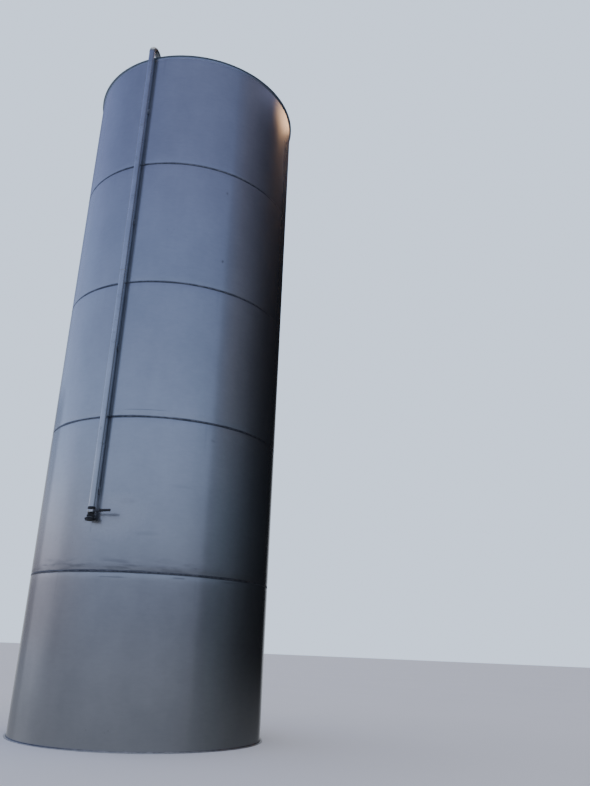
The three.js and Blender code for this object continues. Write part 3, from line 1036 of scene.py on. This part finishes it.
def makeGrip():
    g = gripShape
    low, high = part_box("valve_lever_grip")
    middleY, length = (low.y + high.y) / 2, high.x - low.x
    rings = []
    for t in spaced(0, 1, g["steps"]):
        near = min(1, min(t, 1 - t) * length / g["endRound"])
        size = g["endSize"] + (1 - g["endSize"]) * math.sqrt(1 - (1 - near) ** 2)
        if g["flareEnds"][0] <= t <= g["flareEnds"][1]:
            size *= g["waist"]
        inGroove = int(t * g["steps"]) % g["groovePitch"] < g["grooveSteps"]
        if inGroove and g["grooves"][0] < t < g["grooves"][1]:
            size *= g["groove"]
        deep, tall = (high.y - low.y) / 2 * size, (high.z - low.z) / 2 * size
        rings.append([(
            low.x + length * t, middleY + deep * squarer(math.cos(angle), g["squareThick"]),
            leverLevel + tall * squarer(math.sin(angle), g["squareTall"]),
        ) for angle in angles(g["sides"])])
    addPiece("leverGrip", lofted(rings), gripBlack, "lever_grip", "valve_handle", replaces="valve_lever_grip")


# Capped hose coupling under the valve, with a cam arm and its pull ring on each side
capShape = {
    "collar": 0.033, "grooves": (0.009, 0.016, 0.023),
    "ringReach": 0.010, "wire": 0.0014, "pin": 0.0028, "pinHalf": 0.0178, "earOut": 0.0132,
    "ear": (0.0055, 0.0035, 0.0085),
    # out from the arm's inner face, and height as a share of half its own
    "earAt": (0.0045, 0.42), "pinAt": (0.0060, 0.5), "ringAt": (0.0065, -0.72),
    # the arm's rings: the same two, half thickness, half width
    "arm": [
        (0.0040, 0.62, 0.0040, 0.0075), (0.0075, 0.3, 0.0042, 0.0080), (0.0075, -0.2, 0.0036, 0.0085),
        (0.0060, -0.6, 0.0032, 0.0095), (0.0070, -0.86, 0.0026, 0.0105),
    ],
}


def makeCoupling():
    c = capShape
    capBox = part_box("coupling_cap")
    low, high, reach = capBox[0].z, capBox[1].z, (capBox[1].x - capBox[0].x) / 2
    collar = fromCorner(c["collar"], high, (-2, 0), (0, 1), (0, 3), (-2, 4))
    collar = turned(rounded([(0, high), *collar, (0, high + 0.004)], 0.0006), 56)
    addPiece("hoseAdaptor", placed(collar, 0, pipeAxisY), pipeSteel, replaces="hose_adaptor")
    profile = [(0, low + 0.003), *fromCorner(reach, low, (-14, 3), (-10, 0), (-3, 0), (0, 3))]
    for level in c["grooves"]:
        profile += fromCorner(reach, low + level, (0, 0), (-1.2, 1.2), (-1.2, 2.8), (0, 4))
    profile += [*fromCorner(reach, high, (0, -3), (-3, 0)), (0, high)]
    cap = placed(turned(profile, 72), 0, pipeAxisY)
    addPiece("couplingCap", cap, capBlack, replaces="coupling_cap")


def makeCamArm(name, sign, node):
    c = capShape
    low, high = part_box(node)
    inner = low.x if sign > 0 else -high.x
    middle, half = (low.z + high.z) / 2, (high.z - low.z) / 2
    rings = []
    for out, level, thick, wide in c["arm"]:
        rings.append([(
            sign * (inner + out + thick * squarer(math.cos(angle), 0.6)),
            pipeAxisY + wide * squarer(math.sin(angle), 0.6), middle + half * level,
        ) for angle in angles(20)])

    def spot(place, aside=0, below=0):
        out, level = c[place]
        return sign * (inner + out), pipeAxisY + aside, middle + half * level - below

    x, y, z = c["ear"]
    ear = prism([(-x, -y), (x, -y), (x, y), (-x, y)], -z, z)
    ears = [placed(ear, *spot("earAt", side * c["earOut"])) for side in (-1, 1)]
    pin = swept([spot("pinAt", side * c["pinHalf"]) for side in (-1, 1)], c["pin"], 14)
    addPiece(name, joined(lofted(rings), *ears, pin), capBlack, bevel=0.0007, replaces=node)
    ring = circle(spot("ringAt", below=c["ringReach"]), c["ringReach"], 36, "X")
    addPiece(name + "Ring", looped(ring, c["wire"]), leverSteel)


makeValve()
makeLever()
makeGrip()
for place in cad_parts["valve_stem"].material_slots:
    place.material = leverSteel
makeCoupling()
makeCamArm("camArmLeft", -1, "cam_arm_left")
makeCamArm("camArmRight", 1, "cam_arm_right")
print("valve and coupling made")


# Overflow line, round towards the left
overflowShape = {
    "turn": -75, "axis": 1.300, "radius": 0.01685, "top": 7.206, "foot": 0.100, "elbowDrop": 0.024,
    "bend": 0.034, "bendSteps": 14, "fitting": 0.0192, "waist": 0.002, "lip": 0.0016, "lipHigh": 0.010,
    "weld": 0.0032, "bars": 5, "barWidth": 0.040, "barThick": 0.004,
}


def makeOverflow():
    o = overflowShape
    axis, top, bend, fitting, turn = o["axis"], o["top"], o["bend"], o["fitting"], math.radians(o["turn"])
    elbowFoot = top - bend - o["elbowDrop"]
    lipTop = elbowFoot + o["lipHigh"]
    pipe = placed(rod(o["foot"], elbowFoot + 0.004, o["radius"], 40, 0.0012), 0, -axis)
    addPiece("overflowPipe", placed(pipe, turn=turn), pipeSteel, replaces="overflow_pipe")
    # elbow out of the shell, a little slimmer in its bend, with a lip at its foot
    path = [(0, -shellRadius + 0.0015, top), (0, -shellRadius - 0.006, top)]
    radii = [fitting, fitting]
    for a in spaced(0, math.pi / 2, o["bendSteps"]):
        path.append((0, bend - axis - bend * math.sin(a), top - bend + bend * math.cos(a)))
        radii.append(fitting - o["waist"] * math.sin(2 * a))
    path += [(0, -axis, lipTop + 0.001), (0, -axis, lipTop), (0, -axis, elbowFoot)]
    radii += [fitting, fitting + o["lip"], fitting + o["lip"]]
    elbow = placed(swept(path, fitting, 40, radii), turn=turn)
    addPiece("overflowElbow", elbow, darkFitting, bevel=0.0008, replaces="overflow_elbow")
    weld = weldRing(circle((0, -shellRadius - 0.0005, top), fitting + 0.001, 72, "Y"), o["weld"])
    addWeld("overflowWeld", placed(weld, turn=turn))
    addStandoffs(
        "overflowBracket", "overflow_bracket", o["bars"], 0.0007, axis, o["radius"],
        o["barWidth"], o["barThick"], turn,
    )


makeOverflow()
print("overflow made")


# Outlet low on the back, closed by a bolted blind flange
outletShape = {
    "level": 0.260, "pipe": 0.04445, "wall": 0.003, "face": 1.390, "flange": 0.100, "thick": 0.018,
    "pad": 0.100, "padThick": 0.004, "raised": 0.066, "raise": 0.0016, "hub": 0.012,
    "bolts": 8, "boltCircle": 0.080, "boltRadius": 0.008, "nut": 0.024, "headHigh": 0.0088,
    "washer": 0.0145, "washerThick": 0.0015, "nutHigh": 0.011, "boltEnd": 0.019,
    "padWeld": 0.0035, "neckWeld": 0.0042, "flangeWeld": 0.0026, "sunk": 0.0035,
    # from the joint's face: both faces of the gasket, and the flanges' own
    "gasket": (-0.0006, 0.0010), "faces": (-0.0004, 0.0009),
}


def onShell(reach, angle, depth):
    # a point round the outlet's axis, laid on the shell
    across, height = reach * math.cos(angle), reach * math.sin(angle)
    return around(math.pi / 2 + across / shellRadius, shellRadius + depth, outletShape["level"] + height)


def makeOutlet():
    o = outletShape
    level, face, pipe, bore, flange = o["level"], o["face"], o["pipe"], o["pipe"] - o["wall"], o["flange"]
    back, raised, step, sunk = face - o["thick"], o["raised"], face - o["raise"], -o["sunk"]
    seals, (nearFace, farFace) = [[face + depth for depth in o[name]] for name in ("gasket", "faces")]

    def add(name, shape, look, *slotName, **more):
        addPiece(name, facing(shape, level, -1), look, *slotName, **more)

    def flangeRim(low, high):
        return fromCorner(flange, low, (-1, 0), (0, 1)) + fromCorner(flange, high, (0, -1), (-1, 0))

    nozzle = tube(bore, pipe, shellRadius - 0.006, face - 0.004, 64)
    add("outletNozzle", nozzle, pipeSteel, "shell_plate", replaces="outlet_nozzle")
    # a flat ring of plate rolled to lie on the shell
    hole, edge, thick = pipe - lap, o["pad"], o["padThick"]
    outline = [(hole, sunk), (hole, thick), (edge - 0.001, thick), (edge, thick - 0.001), (edge, sunk)]
    pad = lofted([[onShell(reach, angle, depth) for reach, depth in outline] for angle in angles(96)], True)
    addPiece("outletPad", pad, barSteel)
    add("outletFlange", turned(rounded([
        (bore, back - o["hub"]), (pipe + 0.002, back - o["hub"]), (pipe + 0.009, back),
        *flangeRim(back, step), (raised, step), (raised, nearFace), (bore, nearFace),
    ], 0.0006), 96), flangeSteel, replaces="outlet_flange")
    add("outletGasket", tube(bore, raised + 0.002, *seals, 72), gripBlack)
    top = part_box("outlet_blind_flange")[1].y
    start, far = face + 0.0003 + o["raise"], top - o["headHigh"]
    add("outletBlind", turned(rounded([
        (0, farFace), (raised, farFace), (raised, start), *flangeRim(start, far), (0, far),
    ], 0.0006), 96), flangeSteel, replaces="outlet_blind_flange")
    under = back - o["washerThick"]
    bolt = joined(
        hexagon(o["nut"], under - o["nutHigh"], under), rod(under, back, o["washer"], 28, 0.0004),
        rod(back - o["boltEnd"], far + lap, o["boltRadius"], 20, 0.001), hexagon(o["nut"], far, top),
    )
    places = [around(turn, o["boltCircle"], 0) for turn in angles(o["bolts"], 0.5)]
    bolts = joined(*[placed(bolt, place.x, place.y) for place in places])
    add("outletBolts", bolts, darkFitting, smooth=25)
    padWeld = weldRing([onShell(edge + 0.0005, angle, 0.0012) for angle in angles(200)], o["padWeld"])
    neckWeld = weldRing([onShell(pipe + 0.001, angle, thick + 0.001) for angle in angles(140)], o["neckWeld"])
    flangeWeld = weldRing(circle((0, back - o["hub"], level), pipe + 0.0012, 120, "Y"), o["flangeWeld"])
    addWeld("outletWelds", padWeld, neckWeld, flangeWeld)


makeOutlet()
print("outlet made")


# Floor and light
floorLook = {"half": 120, "dim": colour(0.74, 0.75, 0.77), "pale": colour(0.79, 0.80, 0.82)}


def makeFloor():
    look = newLook("paleFloor")
    base = look.mix(look.cloud(0.4, 2), floorLook["dim"], floorLook["pale"])
    mesh = bpy.data.meshes.new("floor")
    h = floorLook["half"]
    mesh.from_pydata([(-h, -h, 0), (h, -h, 0), (h, h, 0), (-h, h, 0)], [], [(0, 1, 2, 3)])
    mesh.materials.append(look.close(look.shader({"Base Color": base, "Roughness": 0.85})))
    floor = bpy.data.objects.new("floor", mesh)
    bpy.context.collection.objects.link(floor)
    floor.visible_glossy = False  # the plate mirrors the soft light alone


# Soft light: wide and blue on the left, dim and greyer on the right, dark along the horizon
worldLight = {
    "backdrop": colour(0.97, 1.15, 1.42),
    "front": (0.483, -0.876),  # a fixed direction, the middle of the light's turn
    "right": (0.876, 0.483),
    # sky colour by height: half the direction's rise plus a half
    "sky": [
        (0.0, (0.46, 0.47, 0.50)), (0.42, (0.40, 0.41, 0.44)), (0.50, (0.27, 0.295, 0.37)),
        (0.529, (0.275, 0.31, 0.42)), (0.552, (0.43, 0.485, 0.65)), (0.575, (0.525, 0.63, 0.865)),
        (0.6175, (0.52, 0.635, 0.93)), (0.657, (0.51, 0.64, 0.97)), (0.692, (0.44, 0.547, 0.864)),
        (0.743, (0.382, 0.483, 0.821)), (0.7825, (0.3225, 0.386, 0.697)), (0.8215, (0.26, 0.315, 0.59)),
        (0.88, (0.25, 0.30, 0.57)), (1.0, (0.22, 0.28, 0.54)),
    ],
    # how bright it is by turn: 0.5 is at the front, above it to the right
    "levels": [
        (0.0, 0.10), (0.05, 0.55), (0.09, 1.0), (0.15, 1.0), (0.18, 0.98), (0.21, 0.90), (0.25, 0.82),
        (0.35, 0.80), (0.42, 0.765), (0.47, 0.76), (0.52, 0.74), (0.56, 0.695), (0.59, 0.65), (0.62, 0.60),
        (0.632, 0.42), (0.66, 0.34), (0.69, 0.25), (0.72, 0.17), (0.75, 0.105), (0.78, 0.065), (0.81, 0.04),
        (0.84, 0.03), (0.87, 0.02), (0.90, 0.01), (1.0, 0.03),
    ],
    # places that are dimmer or brighter: fade over the turn, fade over the rise, share of change
    "patches": [
        (0.14, 0.12, 0.33, 0.28, -0.45), (0.62, 0.64, 0.56, 0.30, -0.12), (0.70, 0.85, 0.53, 0.45, -0.35),
        (0.83, 0.89, 0.54, 0.60, 5), (0.62, 0.64, 0.58, 0.66, 0.35), (0.60, 0.56, 0.36, 0.28, 0.08),
        (0.26, 0.20, 0.30, 0.15, 0.3),
    ],
    # band of sky over the dim side: where it lies, and its level along the turn
    "skyBand": [("turn", 0.62, 0.64), ("rise", 0.648, 0.668), ("rise", 0.75, 0.70)],
    "skyLevel": ("turn", 0.66, 0.80, 0.4875, 1.0125),
    # colours laid over it: mode, colour, fades over its turn, its rise, its slant or the way ahead
    "washes": [
        ("MULTIPLY", colour(1.17, 1.0, 0.84), ("turn", 0.61, 0.68), ("rise", 0.12, 0.35)),
        ("MULTIPLY", colour(0.95, 1.04, 1.02), ("turn", 0.61, 0.68), ("rise", 0.35, 0.12)),
        ("MULTIPLY", colour(1.15, 0.99, 0.86), ("turn", 0.38, 0.2), ("rise", 0.26, 0.10),
         ("rise", -0.04, 0.04)),
        # a small warm patch on the dim side, slanting a little
        ("MIX", colour(3.8, 2.2, 1.2), ("rise", 0.628, 0.640), ("rise", 0.664, 0.652),
         ("slant", 0.775, 0.835), ("turn", 0.96, 0.92)),
        # a wide soft panel behind the tank, and the floor's glow from below
        ("MIX", colour(0.62, 0.65, 0.70), ("ahead", -0.85, -0.97)),
        ("MIX", colour(0.42, 0.43, 0.46), ("rise", -0.03, -0.16, 0.0, 0.4)),
    ],
    "slantFrom": 0.652,
    "slant": 2.4,
    "topLight": 1.6,
    "topLightAngle": 60,
}


def makeWorld():
    # an even pale backdrop, and a soft light that is bright on the left and dim on the right
    world = bpy.data.worlds.new("softStudio")
    bpy.context.scene.world = world
    world.use_nodes = True
    look = Look(world.node_tree)
    fade, w = look.fade, worldLight
    x, y, z = look.parts(look.add("ShaderNodeTexCoord", out="Generated"))
    ahead = x * w["front"][0] + y * w["front"][1]
    aside = x * w["right"][0] + y * w["right"][1]
    turn = look.add("ShaderNodeMath", {"operation": "ARCTAN2"}, {0: aside, 1: ahead}) / (2 * math.pi) + 0.5
    levels = [(place, (level,) * 3) for place, level in w["levels"]]
    level = look.add("ShaderNodeValToRGB", {"stops": levels}, {0: turn})
    sky = look.add("ShaderNodeValToRGB", {"stops": w["sky"]}, {0: z * 0.5 + 0.5})
    for turnFrom, turnTo, riseFrom, riseTo, change in w["patches"]:
        patch = 1 + fade(turn, turnFrom, turnTo) * fade(z, riseFrom, riseTo) * change
        level = look.mix(1.0, level, patch, "MULTIPLY")
    along = {"turn": turn, "rise": z, "ahead": ahead, "slant": turn - (w["slantFrom"] - z) * w["slant"]}

    def spread(*fades):
        return math.prod(fade(along[name], *span) for name, *span in fades)

    level = look.mix(spread(*w["skyBand"]), level, spread(w["skyLevel"]))
    light = look.mix(1.0, sky, level, "MULTIPLY")
    for mode, tint, *fades in w["washes"]:
        light = look.mix(spread(*fades), light, tint, mode)
    shine = look.add("ShaderNodeBackground", sockets={"Color": light, "Strength": 1.0})
    plain = look.add("ShaderNodeBackground", sockets={"Color": w["backdrop"], "Strength": 1.0})
    seen = look.add("ShaderNodeLightPath", out="Is Camera Ray")
    both = look.add("ShaderNodeMixShader", sockets={0: seen, 1: shine, 2: plain})
    look.add("ShaderNodeOutputWorld", sockets={"Surface": both})


def makeTopLight():
    lamp = bpy.data.lights.new("topLight", "SUN")
    lamp.energy = worldLight["topLight"]
    lamp.angle = math.radians(worldLight["topLightAngle"])
    bpy.context.collection.objects.link(bpy.data.objects.new("topLight", lamp))


makeFloor()
makeWorld()
makeTopLight()
print("floor and light made")
